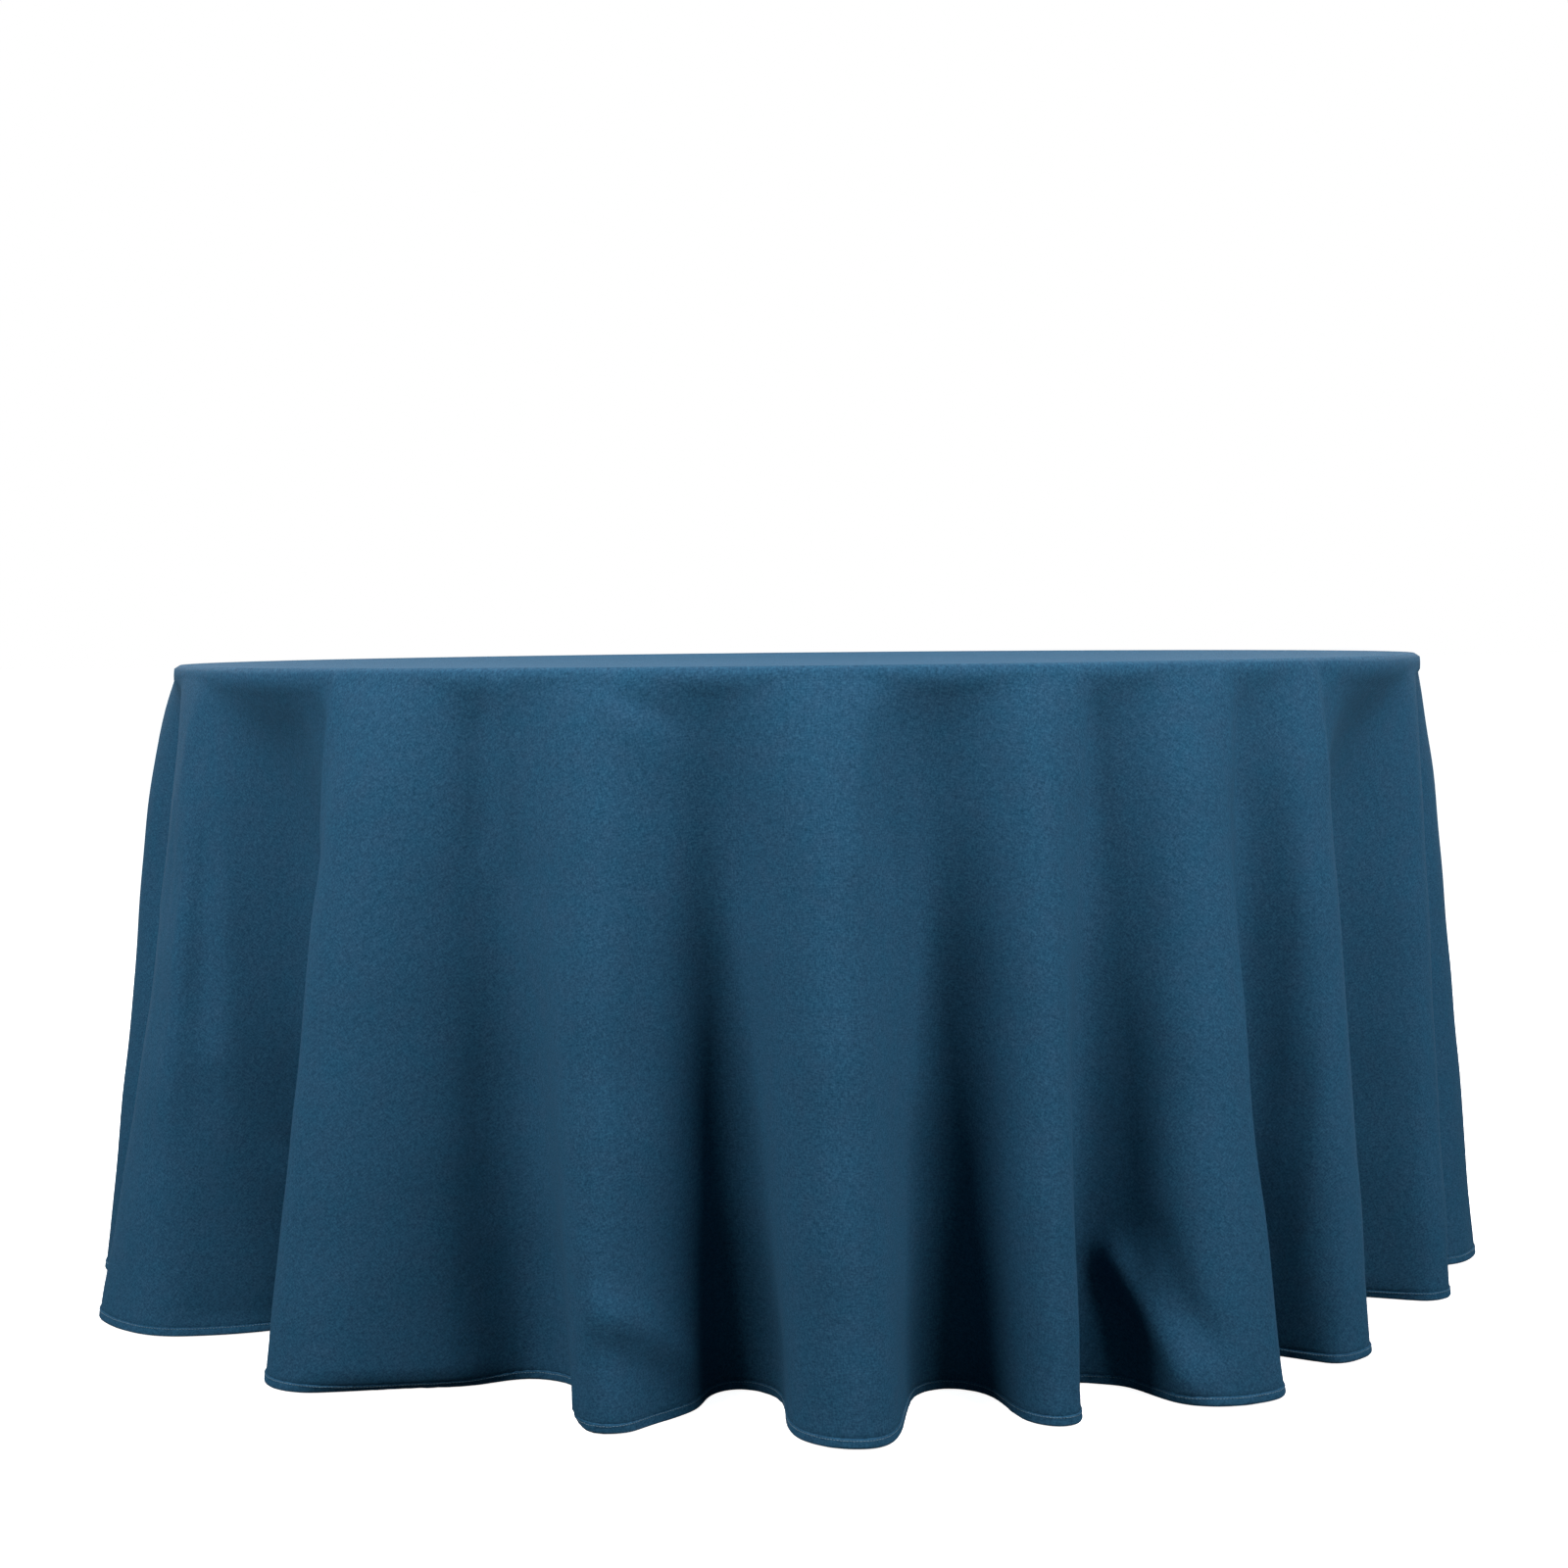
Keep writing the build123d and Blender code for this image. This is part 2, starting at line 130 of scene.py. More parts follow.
def gauss_ring(a, sigma):
    """Smooths a closed ring of values with a gaussian of sigma samples."""
    n = a.shape[-1]
    k = np.fft.rfftfreq(n)
    return np.fft.irfft(np.fft.rfft(a, axis=-1) * np.exp(-2 * (np.pi * k * sigma) ** 2), n=n, axis=-1)


def hem_plan(n):
    """The hem's line, as n points evenly spaced along it, with the length of the cut edge."""
    want = TAU * R_CUT
    f = 1.0
    for _ in range(14):
        C, L = closed_curve(hem_keys(f))
        f *= 1 - (L[-1] - want) / want * 1.2
    az = np.unwrap(np.arctan2(C[:, 0], -C[:, 1]))
    s = L[:-1] / L[-1] * TAU
    phi = s - np.mean(s - az)
    u = np.arange(n) * TAU / n
    ph = np.concatenate([phi - TAU, phi, phi + TAU])
    return np.interp(u, ph, np.tile(C[:, 0], 3)), np.interp(u, ph, np.tile(C[:, 1], 3))


# Where a fold leaves the rim, and how far round the sheet from there its line meets the hem, in degrees.
LEAN = [(-115, 0), (-90, 0), (-76, 0), (-68, .2), (-60, 3.4), (-50, 0), (-39, -3.4), (-34, -4.), (-26, 0), (-22.6, 0), (-13.6, -3.9), (-7.4, -1.6),
        (-1.6, -1.3), (1.5, -1.3), (10.5, 0), (18.4, -.2), (21.7, .9), (25.3, 0), (31.5, 1.4), (34.4, 2.8), (38., 3.3), (43., 4.3), (44.8, 5.2),
        (55, 2.6), (66, 1.5), (80, .5), (95, 0)]
# Sides that stand out more just under the rim: azimuth, spread, how far, and how deep below the rim, of the drop.
STAND = [(-86., 7., .0125, .20), (82., 15., .0016, .12), (-66., 4.5, -.0230, .42)]


def hang(rho, n, smooth=.006, grow=.58):
    """Folds that open out from nothing at the rim to the hem's own line, each ring a scaled-down copy of the hem's turns.

    Near the rim the weave shears and gives a little, so the folds grow almost evenly with the drop and not at once.
    """
    hx, hy = hem_plan(n)
    u = np.arange(n) * TAU / n
    um = u + np.pi / n
    dev = np.unwrap(np.arctan2(np.roll(hy, -1) - hy, np.roll(hx, -1) - hx)) - um
    dev -= np.round(dev.mean() / TAU) * TAU
    dev = gauss_ring(dev, smooth / (R_CUT * TAU / n))
    reach = np.hypot(hx, hy).mean()
    cx, cy = hx.mean(), hy.mean()
    X = np.zeros((3, len(rho), n))
    az = np.degrees((um + np.pi) % TAU - np.pi)
    lean = gauss_ring(np.interp(az, [k[0] for k in LEAN], [k[1] for k in LEAN]), math.radians(1.2) / (TAU / n))
    ua, da = np.concatenate([um - TAU, um, um + TAU]), np.tile(dev, 3)

    def line(r, a, t):
        sx, sy = r * TAU / n * np.cos(a), r * TAU / n * np.sin(a)
        sx -= sx.mean()
        sy -= sy.mean()
        x, y = np.cumsum(sx) - sx, np.cumsum(sy) - sy
        x += cx * t - x.mean()
        y += cy * t - y.mean()
        k = (R_TOP + (reach - R_TOP) * t) / np.hypot(x, y).mean()
        return x * k, y * k

    def ring(r, g, t):
        x, y = line(r, um + g * dev, t)
        if t > .999:
            return x, y
        p, q = line(r, um + g * np.interp(um + np.radians(lean) * (1 - t), ua, da), t)
        # the leaning folds keep the broad shape of the ring
        wide = math.radians(8.) / (TAU / n)
        turn = np.arctan2(p * y - q * x, p * x + q * y)
        far = np.hypot(p, q) + gauss_ring(np.hypot(x, y) - np.hypot(p, q), wide)
        b = np.arctan2(q, p) + gauss_ring(turn, wide)
        return far * np.cos(b), far * np.sin(b)

    full = np.hypot(*ring(R_CUT, 1., 1.)).std()
    for i, r in enumerate(rho):
        if r <= R_TOP - .004:
            X[:, i] = r * np.sin(u), -r * np.cos(u), np.full(n, Z_LIE)
            continue
        s = max(r - R_TOP, 0)
        t = s / DROP
        lo, hi = 0., 1.1
        for _ in range(30):
            g = (lo + hi) / 2
            if np.hypot(*ring(r, g, t)).std() < full * t ** grow:
                lo = g
            else:
                hi = g
        x, y = ring(r, g, t)
        q = np.hypot(x, y)
        k = np.maximum(q, R_TOP + HALF - np.maximum(0, s - .022) * .9) / q
        for c, w, far, deep in STAND:
            off = (np.degrees(u) - c + 180) % 360 - 180
            k += np.exp(-(off / w) ** 2 / 2) * far * t / deep * math.exp(1 - t / deep) * (1 - t ** 4) / R_TOP
        X[0, i], X[1, i] = x * k, y * k
        if r < R_TOP + .006:
            X[2, i] = Z_LIE - s * .6
        else:
            h = rho[i] - rho[i - 1]
            d2 = (X[0, i] - X[0, i - 1]) ** 2 + (X[1, i] - X[1, i - 1]) ** 2
            X[2, i] = X[2, i - 1] - np.sqrt(np.maximum(h * h - d2, (.3 * h) ** 2))
    return X.astype(F4)


def ring_lengths(X):
    """Mean distance between neighbours round each ring."""
    D = np.roll(X, -1, 2) - X
    return np.sqrt((D * D).sum(0)).mean(1)


class Sheet:
    """Position-based cloth on a polar grid: rings by columns, inner ring held."""

    def __init__(s, rho, n, around, bend_c, bend_r, shear=.25):
        s.m, s.n = len(rho), n
        s.rr = np.diff(rho).astype(F4)[:, None]
        s.rc = around.astype(F4)[:, None]
        c0, c1 = around[:-1], around[1:]
        s.rd = np.sqrt(np.diff(rho) ** 2 + c0 * c1).astype(F4)[:, None]
        s.bend_c, s.bend_r, s.shear = F4(bend_c), F4(bend_r), F4(shear)

    @staticmethod
    def pair(A, B, rest, k=1., wa=.5, wb=.5):
        D = B - A
        ln = np.sqrt(D[0] * D[0] + D[1] * D[1] + D[2] * D[2])
        D *= (ln - rest) / np.maximum(ln, 1e-9) * F4(k)
        A += D * F4(wa)
        B -= D * F4(wb)

    def stretch(s, X):
        m = s.m
        for p in (0, 1):
            a, b = X[:, p:m - 1:2], X[:, p + 1:m:2]
            a = a[:, :b.shape[1]]
            rest = s.rr[p::2][:b.shape[1]]
            if p == 0:
                s.pair(a[:, :1], b[:, :1], rest[:1], 1., 0., 1.)
                s.pair(a[:, 1:], b[:, 1:], rest[1:])
            else:
                s.pair(a, b, rest)
        s.pair(X[:, 1:, 0::2], X[:, 1:, 1::2], s.rc[1:])
        s.pair(X[:, 1:, 1:-1:2], X[:, 1:, 2::2], s.rc[1:])
        s.pair(X[:, 1:, -1:], X[:, 1:, :1], s.rc[1:])

    def diag(s, X):
        m = s.m
        for p in (0, 1):
            a, b = X[:, p:m - 1:2], X[:, p + 1:m:2]
            q = min(a.shape[1], b.shape[1])
            lo = 1 if p == 0 else 0
            a, b, rest = a[:, lo:q], b[:, lo:q], s.rd[p::2][lo:q]
            s.pair(a[:, :, :-1], b[:, :, 1:], rest, s.shear)
            s.pair(a[:, :, -1:], b[:, :, :1], rest, s.shear)
            s.pair(a[:, :, 1:], b[:, :, :-1], rest, s.shear)
            s.pair(a[:, :, :1], b[:, :, -1:], rest, s.shear)

    def bend(s, X):
        L = np.roll(X, 1, 2)
        L += np.roll(X, -1, 2)
        L *= F4(.5)
        L -= X
        X[:, 1:] += s.bend_c * L[:, 1:]
        L = (X[:, 2:] + X[:, :-2]) * F4(.5) - X[:, 1:-1]
        X[:, 1:-1] += s.bend_r * L

    def contact(s, X, more=0.):
        """Out of the table top and the floor. more: extra clearance for each of the first rows."""
        m = 24
        x, y, z = X[0, :m], X[1, :m], X[2, :m]
        gap = HALF + .0002 + more
        rad = np.sqrt(x * x + y * y)
        hh = .010
        zc = Z_TABLE - hh
        qx, qz = rad - (R_TOP - NOSE), np.abs(z - zc) - (hh - NOSE)
        ax, az = np.maximum(qx, 0), np.maximum(qz, 0)
        ln = np.sqrt(ax * ax + az * az)
        pen = np.maximum(gap - (ln + np.minimum(np.maximum(qx, qz), 0) - NOSE), 0)
        out = ln > 1e-9
        l2 = np.maximum(ln, 1e-9)
        nr = np.where(out, ax / l2, (qx > qz) * 1.)
        nz = np.where(out, az / l2, (qx <= qz) * 1.) * np.where(z >= zc, 1., -1.)
        ir = (pen * nr / np.maximum(rad, 1e-6)).astype(F4)
        x += ir * x
        y += ir * y
        z += (pen * nz).astype(F4)
        np.maximum(X[2, :5], F4(Z_LIE), out=X[2, :5])
        np.maximum(X[2], F4(.0016), out=X[2])

    def run(s, X, steps, dt, gravity, damp, goal, pull, floor_grip=.5):
        V = np.zeros_like(X)
        for k in range(steps):
            V[2] -= F4(gravity * dt)
            V *= F4(damp)
            Y = X + V * F4(dt)
            Y[:, 0] = X[:, 0]
            s.diag(Y)
            s.stretch(Y)
            s.bend(Y)
            g = pull(k / steps)
            Y[0] += g * (goal[0] - Y[0])
            Y[1] += g * (goal[1] - Y[1])
            s.contact(Y)
            V = (Y - X) / F4(dt)
            low = Y[2] < .002
            V[0][low] *= F4(floor_grip)
            V[1][low] *= F4(floor_grip)
            X = Y
        return X


def finer(X):
    """Twice the columns, by the ring's own frequencies."""
    n = X.shape[2]
    F = np.fft.rfft(X, axis=2)
    G = np.zeros(F.shape[:2] + (n + 1,), F.dtype)
    G[:, :, :n // 2 + 1] = F
    G[:, :, n // 2] *= .5
    return (np.fft.irfft(G, n=2 * n, axis=2) * 2).astype(F4)


def drape():
    rho = rows()
    n = 400
    X = hang(rho, n)
    goal = X[:2].copy()
    m = len(rho)
    # the upper folds are held near their place, and the rest is free to settle
    hold = (.012 + .04 * np.clip(1 - (rho - R_TOP) / .30, 0, 1))[:, None].astype(F4)
    hold += F4(.07) * np.clip((rho - R_CUT + .18) / .18, 0, 1)[:, None].astype(F4) ** 2
    around = ring_lengths(X)
    X = Sheet(rho, n, around, .12, .09).run(X, 400, .002, 4., .98, goal, lambda t: np.maximum(F4(.05 * (1 - t) ** 2), hold))
    X = finer(X)
    goal = X[:2].copy()
    X = Sheet(rho, 2 * n, around / 2, .12, .10).run(X, 160, .002, 4., .97, goal, lambda t: hold)
    return rho, X


rho, X = drape()
M, N = X.shape[1:]
hem_lo = float(X[2, -1].min())
print("hem height", hem_lo, float(X[2, -1].max()), "top", float(X[2].max()))


def normals(X):
    U = np.roll(X, -1, 2) - np.roll(X, 1, 2)
    W = np.empty_like(X)
    W[:, 1:-1] = X[:, 2:] - X[:, :-2]
    W[:, 0] = X[:, 1] - X[:, 0]
    W[:, -1] = X[:, -1] - X[:, -2]
    n = np.cross(W, U, axis=0)
    return n / np.maximum(np.sqrt((n * n).sum(0)), 1e-12)


# Small creases that the folds alone don't make: points (degrees round the sheet, flat radius), height outward, half width.
CREASES = [
    ([(-13.8, .771), (-11.2, .775)], .0014, .0045),
    ([(-12.4, .786), (-9.4, .806)], -.0034, .0070),
    ([(-13.9, .797), (-12.6, .816)], .0026, .0075),
    ([(26.9, 1.372), (28.2, 1.412), (29.8, 1.456), (30.4, 1.484)], .0130, .0125),
    ([(25.5, 1.385), (26.3, 1.430), (27.0, 1.480)], -.0090, .0140),
    ([(28.9, 1.335), (30.4, 1.410), (31.6, 1.445)], -.0055, .0120),
    ([(-57.6, 1.185), (-55.8, 1.230), (-54.2, 1.275)], .0034, .0100),
    ([(-58.0, 1.225), (-56.4, 1.262), (-55.2, 1.295)], -.0026, .0130),
    ([(-16.6, 1.388), (-14.6, 1.412), (-12.6, 1.450)], .0060, .0130),
    ([(-16.4, 1.432), (-14.4, 1.456)], -.0022, .0140),
    ([(-17.2, 1.320), (-17.0, 1.400), (-16.9, 1.492)], .0030, .0080),
    ([(-60.5, .800), (-64.5, .930), (-66.0, 1.020)], .0020, .0140),
    ([(8.6, .90), (8.9, 1.06), (9.2, 1.18)], .0020, .0120),
    ([(-47.0, 1.38), (-45.5, 1.47)], -.0030, .0130),
    ([(57.5, 1.36), (60.5, 1.45)], .0040, .0130),
    ([(37.7, 1.330), (38.1, 1.400)], .0110, .0320),
    # edges of the arches under the rim
    ([(-38.4, .772), (-39.2, .84), (-40.2, .93)], .0040, .0085),
    ([(-41.4, .810), (-42.2, .87), (-43.2, .95)], -.0060, .0120),
    ([(-23.0, .772), (-23.3, .84), (-23.4, .93)], .0034, .0080),
    ([(-25.6, .808), (-25.8, .93)], -.0040, .0120),
    ([(5.0, .790), (4.2, .86), (3.8, .95)], .0026, .0090),
    ([(7.6, .810), (7.0, .87), (7.2, .96)], -.0030, .0120),
    ([(21.0, .772), (21.6, .87)], .0032, .0080),
    ([(23.4, .808), (23.8, .90)], -.0040, .0110),
    ([(34.2, .772), (35.4, .88)], .0030, .0080),
    ([(36.9, .808), (38.2, .90)], -.0040, .0110),
    ([(45.0, .772), (46.4, .88)], .0030, .0085),
    ([(47.9, .810), (49.4, .90)], -.0042, .0120),
]


def crease(X, N_):
    """How far each point of the sheet stands out along its normal at the small creases."""
    phi = np.arange(X.shape[2]) * TAU / X.shape[2]
    fx, fy = rho[:, None] * np.sin(phi), -rho[:, None] * np.cos(phi)
    H = np.zeros(fx.shape)
    for pts, high, wide in CREASES:
        q = [(r * math.sin(math.radians(a)), -r * math.cos(math.radians(a))) for a, r in pts]
        near = np.full(fx.shape, 9.)
        for (ax, ay), (bx, by) in zip(q[:-1], q[1:]):
            dx, dy = bx - ax, by - ay
            t = np.clip(((fx - ax) * dx + (fy - ay) * dy) / (dx * dx + dy * dy), 0, 1)
            near = np.minimum(near, np.hypot(fx - ax - t * dx, fy - ay - t * dy))
        H += high * np.exp(-(near / wide) ** 2 / 2)
    # loose cloth is never quite smooth: broad shallow unevenness, none on the table
    rng = np.random.default_rng(5)
    for _ in range(26):
        kx, ky = rng.normal(0, 26, 2)
        H += .00022 * np.sin(kx * fx + ky * fy + rng.uniform(0, TAU)) * np.clip((rho[:, None] - .775) / .1, 0, 1)
    return (X + N_ * H).astype(F4)


NRM = normals(X)
if float(NRM[2, 0].mean()) < 0:
    NRM = -NRM
X = crease(X, NRM)
Sheet.contact(None, X, .0012 * np.clip((rho[:24] - .741) / .0145, 0, 1)[:, None])
NRM = normals(X)
if float(NRM[2, 0].mean()) < 0:
    NRM = -NRM


def surf(s, col, off):
    """Points of the sheet at flat radius s and column position col (a float, closed), off metres out along the normal."""
    s = np.asarray(s, float)
    col = np.asarray(col, float)
    i = np.clip(np.searchsorted(rho, s, side="right") - 1, 0, M - 2)
    t = (s - rho[i]) / (rho[i + 1] - rho[i])
    j = np.floor(col).astype(int)
    f = col - j

    def ring(A, row):
        p = [A[:, row, (j + k) % N] for k in (-1, 0, 1, 2)]
        return .5 * (2 * p[1] + (p[2] - p[0]) * f + (2 * p[0] - 5 * p[1] + 4 * p[2] - p[3]) * f ** 2 + (3 * p[1] - p[0] - 3 * p[2] + p[3]) * f ** 3)

    P = ring(X, i) * (1 - t) + ring(X, i + 1) * t
    Q = ring(NRM, i) * (1 - np.clip(t, 0, 1)) + ring(NRM, i + 1) * np.clip(t, 0, 1)
    Q /= np.sqrt((Q * Q).sum(0))
    return P + Q * off


def mesh_object(name, verts, faces, uvs=None, smooth=True):
    """verts (n,3); faces: list of integer arrays, each (k, 3 or 4)."""
    me = bpy.data.meshes.new(name)
    loops = np.concatenate([f.reshape(-1) for f in faces]).astype(np.int32)
    sizes = np.concatenate([np.full(len(f), f.shape[1]) for f in faces])
    starts = np.concatenate([[0], np.cumsum(sizes)[:-1]]).astype(np.int32)
    me.vertices.add(len(verts))
    me.vertices.foreach_set("co", np.asarray(verts, F4).reshape(-1))
    me.loops.add(len(loops))
    me.loops.foreach_set("vertex_index", loops)
    me.polygons.add(len(sizes))
    me.polygons.foreach_set("loop_start", starts)
    me.update(calc_edges=True)
    me.validate()
    if smooth:
        me.polygons.foreach_set("use_smooth", np.ones(len(me.polygons), bool))
    if uvs is not None:
        layer = me.uv_layers.new(name="flat")
        idx = np.empty(len(me.loops), np.int32)
        me.loops.foreach_get("vertex_index", idx)
        layer.data.foreach_set("uv", np.asarray(uvs, F4)[idx].reshape(-1))
    ob = bpy.data.objects.new(name, me)
    scene.collection.objects.link(ob)
    return ob


def grid_faces(r, c, base=0, closed=True, flip=False):
    """Quads of an r x c grid, closed round the columns."""
    cc = c if closed else c - 1
    i, j = np.meshgrid(np.arange(r - 1), np.arange(cc), indexing="ij")
    a, b = base + i * c + j, base + i * c + (j + 1) % c
    d, e = base + (i + 1) * c + j, base + (i + 1) * c + (j + 1) % c
    q = np.stack([a, d, e, b], -1).reshape(-1, 4)
    return q[:, ::-1] if flip else q


def flat_uv(r, phi):
    return np.stack([r * np.sin(phi), -r * np.cos(phi)], -1)


# ------------------------------------------------------------------ cloth mesh
def build_cloth():
    V, UV, F = [], [], []
    phi = np.arange(N) * TAU / N
    count = 0

    def ring_points(x):
        nonlocal count
        V.append(x)
        count += len(x)

    for side, off in ((0, HALF), (1, -HALF)):
        base = count
        P = X + NRM * off
        ring_points(P.reshape(3, -1).T)
        UV.append(flat_uv(np.repeat(rho, N), np.tile(phi, M)))
        F.append(grid_faces(M, N, base, flip=bool(side)))
        # the flat middle: rings of half as many columns each time, then one centre point
        prev, pn = base, N
        for r in (.672, .600, .480, .320, .150):
            cn = pn // 2 if pn > 60 else pn
            b = count
            ph = np.arange(cn) * TAU / cn
            ring_points(np.stack([r * np.sin(ph), -r * np.cos(ph), np.full(cn, Z_LIE + off)], -1))
            UV.append(flat_uv(np.full(cn, r), ph))
            j = np.arange(cn)
            if cn < pn:
                o0, o1, o2 = prev + 2 * j, prev + 2 * j + 1, prev + (2 * j + 2) % pn
                i0, i1 = b + j, b + (j + 1) % cn
                t = [np.stack([i0, o0, o1], -1), np.stack([i0, o1, i1], -1), np.stack([i1, o1, o2], -1)]
            else:
                o0, o1 = prev + j, prev + (j + 1) % pn
                i0, i1 = b + j, b + (j + 1) % cn
                t = [np.stack([i0, o0, o1, i1], -1)]
            F.extend([q[:, ::-1] if side else q for q in t])
            prev, pn = b, cn
        c = count
        ring_points(np.array([[0, 0, Z_LIE + off]]))
        UV.append(np.zeros((1, 2)))
        j = np.arange(pn)
        q = np.stack([np.full(pn, c), prev + j, prev + (j + 1) % pn], -1)
        F.append(q[:, ::-1] if side else q)
        if side == 0:
            first = base
        else:
            j = np.arange(N)
            a, b = first + (M - 1) * N + j, first + (M - 1) * N + (j + 1) % N
            d, e = base + (M - 1) * N + j, base + (M - 1) * N + (j + 1) % N
            F.append(np.stack([a, d, e, b], -1))
    return mesh_object("Tablecloth", np.concatenate(V), F, np.concatenate(UV))


cloth = build_cloth()


# ------------------------------------------------------------------ hem, stitches, label
def build_hem(n=1600):
    col = np.arange(n) * N / n
    rng = np.random.default_rng(7)
    k = np.fft.rfftfreq(n, 1 / n)

    def wander(lo, hi):
        F = (rng.normal(size=len(k)) + 1j * rng.normal(size=len(k))) * ((k > lo) & (k < hi))
        a = np.fft.irfft(F, n=n)
        return a / a.std()

    pucker, drift, roll = wander(240, 560), wander(8, 60), wander(4, 30)
    gate = np.clip(.55 + .45 * wander(10, 80), 0, 1.4)
    # down the outside, round the fold, up the inside: distance above the cut edge and offset from the sheet's middle
    prof = [(.0100, .00045), (.0092, .00105), (.0070, .00125), (.0046, .00125), (.0022, .0013), (.0006, .00115), (-.0004, .0004),
            (-.0004, -.0004), (.0006, -.00115), (.0022, -.0013), (.0046, -.00125), (.0070, -.00125), (.0092, -.00105), (.0100, -.00045)]
    rows_ = []
    for d, o in prof:
        w = max(0, 1 - abs(d - .004) / .006)
        shift = d / .01 * .0085 * n / (TAU * R_CUT)          # puckers lean along the hem
        pk = np.interp((np.arange(n) - shift) % n, np.arange(n + 1), np.append(pucker, pucker[0]))
        lump = pk * gate * .00045 * w
        rows_.append(surf(np.full(n, R_CUT - d + .0003 * drift), col, o + lump * (1 if o > 0 else -1) + .0002 * roll * w))
    P = np.stack(rows_, 1)                                   # 3, rows, n
    P[2] = np.maximum(P[2], .0004)
    m = len(prof)
    F = [grid_faces(m, n), np.stack([(m - 1) * n + np.arange(n), np.arange(n), (np.arange(n) + 1) % n, (m - 1) * n + (np.arange(n) + 1) % n], -1)]
    phi = np.arange(n) * TAU / n
    uv = np.concatenate([flat_uv(np.full(n, R_CUT - d), phi) for d, o in prof])
    return mesh_object("Cloth_hem", P.reshape(3, -1).T, F, uv)


def build_stitches():
    n = int(TAU * R_CUT / .0034)
    step = N / n
    V, F = [], []
    rng = np.random.default_rng(11)
    mid = (np.arange(n) + .5) * step
    half = .0013 * N / (TAU * R_CUT)
    d = R_CUT - .0082 + rng.normal(0, .00012, n)
    tilt = rng.normal(.00012, .00008, n)
    for out in (1, -1):
        ring = []
        for t, w, h in ((-1, .00008, .0011), (-.7, .00026, .00142), (0, .0003, .00162), (.7, .00026, .00142), (1, .00008, .0011)):
            for a, b in ((-1, 0), (0, 1), (1, 0), (0, -1)):
                ring.append(surf(d + t * tilt + a * w, mid + t * half, out * (h + b * w)))
        P = np.stack(ring, 1).transpose(2, 1, 0)             # n, 20, 3
        base = sum(len(v) for v in V)
        V.append(P.reshape(-1, 3))
        q = []
        for k in range(4):
            for c in range(4):
                q.append([k * 4 + c, k * 4 + (c + 1) % 4, (k + 1) * 4 + (c + 1) % 4, (k + 1) * 4 + c])
        q += [[3, 2, 1, 0], [16, 17, 18, 19]]
        q = np.array(q)
        if out < 0:
            q = q[:, ::-1]
        F.append((base + (np.arange(n) * 20)[:, None, None] + q[None]).reshape(-1, 4))
    return mesh_object("Hem_stitching", np.concatenate(V), F)


def build_label(phi0=math.radians(189.0), w=.028, h=.040):
    a, b = 15, 19
    u = np.linspace(-1, 1, a)
    v = np.linspace(0, 1, b)
    U, W = np.meshgrid(u, v)
    s = R_CUT - .0062 - W * h
    col = phi0 / TAU * N + U * w / 2 / (TAU * R_CUT) * N * (R_CUT / s)
    top, bot = [], []
    bow = .0008 * np.sin(W * np.pi) + .0012 * W ** 2
    for off, dest in ((.0019, top), (.0015, bot)):
        dest.append(surf(s, col, -(off + bow)))
    P = np.concatenate([top[0].reshape(3, -1).T, bot[0].reshape(3, -1).T])
    F = [grid_faces(b, a, 0, closed=False, flip=True), grid_faces(b, a, a * b, closed=False)]
    rim = [(0, j) for j in range(a)] + [(i, a - 1) for i in range(1, b)] + [(b - 1, j) for j in range(a - 2, -1, -1)] + [(i, 0) for i in range(b - 2, 0, -1)]
    r = np.array([i * a + j for i, j in rim])
    F.append(np.stack([r, np.roll(r, -1), np.roll(r, -1) + a * b, r + a * b], -1))
    uv = np.stack([(U * w / 2).reshape(-1), (W * h).reshape(-1)], -1)
    return mesh_object("Care_label", P, F, np.concatenate([uv, uv]))


def build_spring(side, sign):
    """Coil between the bolt's collar and the housing's back wall, with closed ends. sign is +1 where the bolt pulls towards +X."""
    lo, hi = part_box(side + "_lock_spring")
    wire, turns, seg, sides = .0006, 5.5, 40, 10
    r = (hi[1] - lo[1]) / 2 - wire
    z = (lo[2] + hi[2]) / 2
    x0, x1 = (lo[0], hi[0]) if sign > 0 else (hi[0], lo[0])
    n = int(turns * seg)
    t = np.linspace(0, turns, n + 1)
    # the first and last half turn lie nearly flat, so the ends sit square
    adv = np.interp(t, [0, .6, turns - .6, turns], [0, .09, .91, 1.])
    x = x0 + sign * (wire * 1.05 + (abs(x1 - x0) - 2.1 * wire) * adv)
    C = np.stack([x, r * np.cos(TAU * t), z + r * np.sin(TAU * t)], -1)
    T = np.gradient(C, axis=0)
    T /= np.linalg.norm(T, axis=1)[:, None]
    R = np.stack([np.zeros(n + 1), np.cos(TAU * t), np.sin(TAU * t)], -1)
    B = np.cross(T, R)
    a = np.arange(sides) * TAU / sides
    P = C[:, None] + wire * (np.cos(a)[None, :, None] * R[:, None] + np.sin(a)[None, :, None] * B[:, None])
    F = [grid_faces(n + 1, sides), np.arange(sides)[None, ::-1], (n * sides + np.arange(sides))[None]]
    ob = mesh_object(side + "_return_spring", P.reshape(-1, 3), F)
    return ob, (float(x0), 0., float(z)), 1 - .006 / abs(x1 - x0)


hem = build_hem()
stitches = build_stitches()
label = build_label()


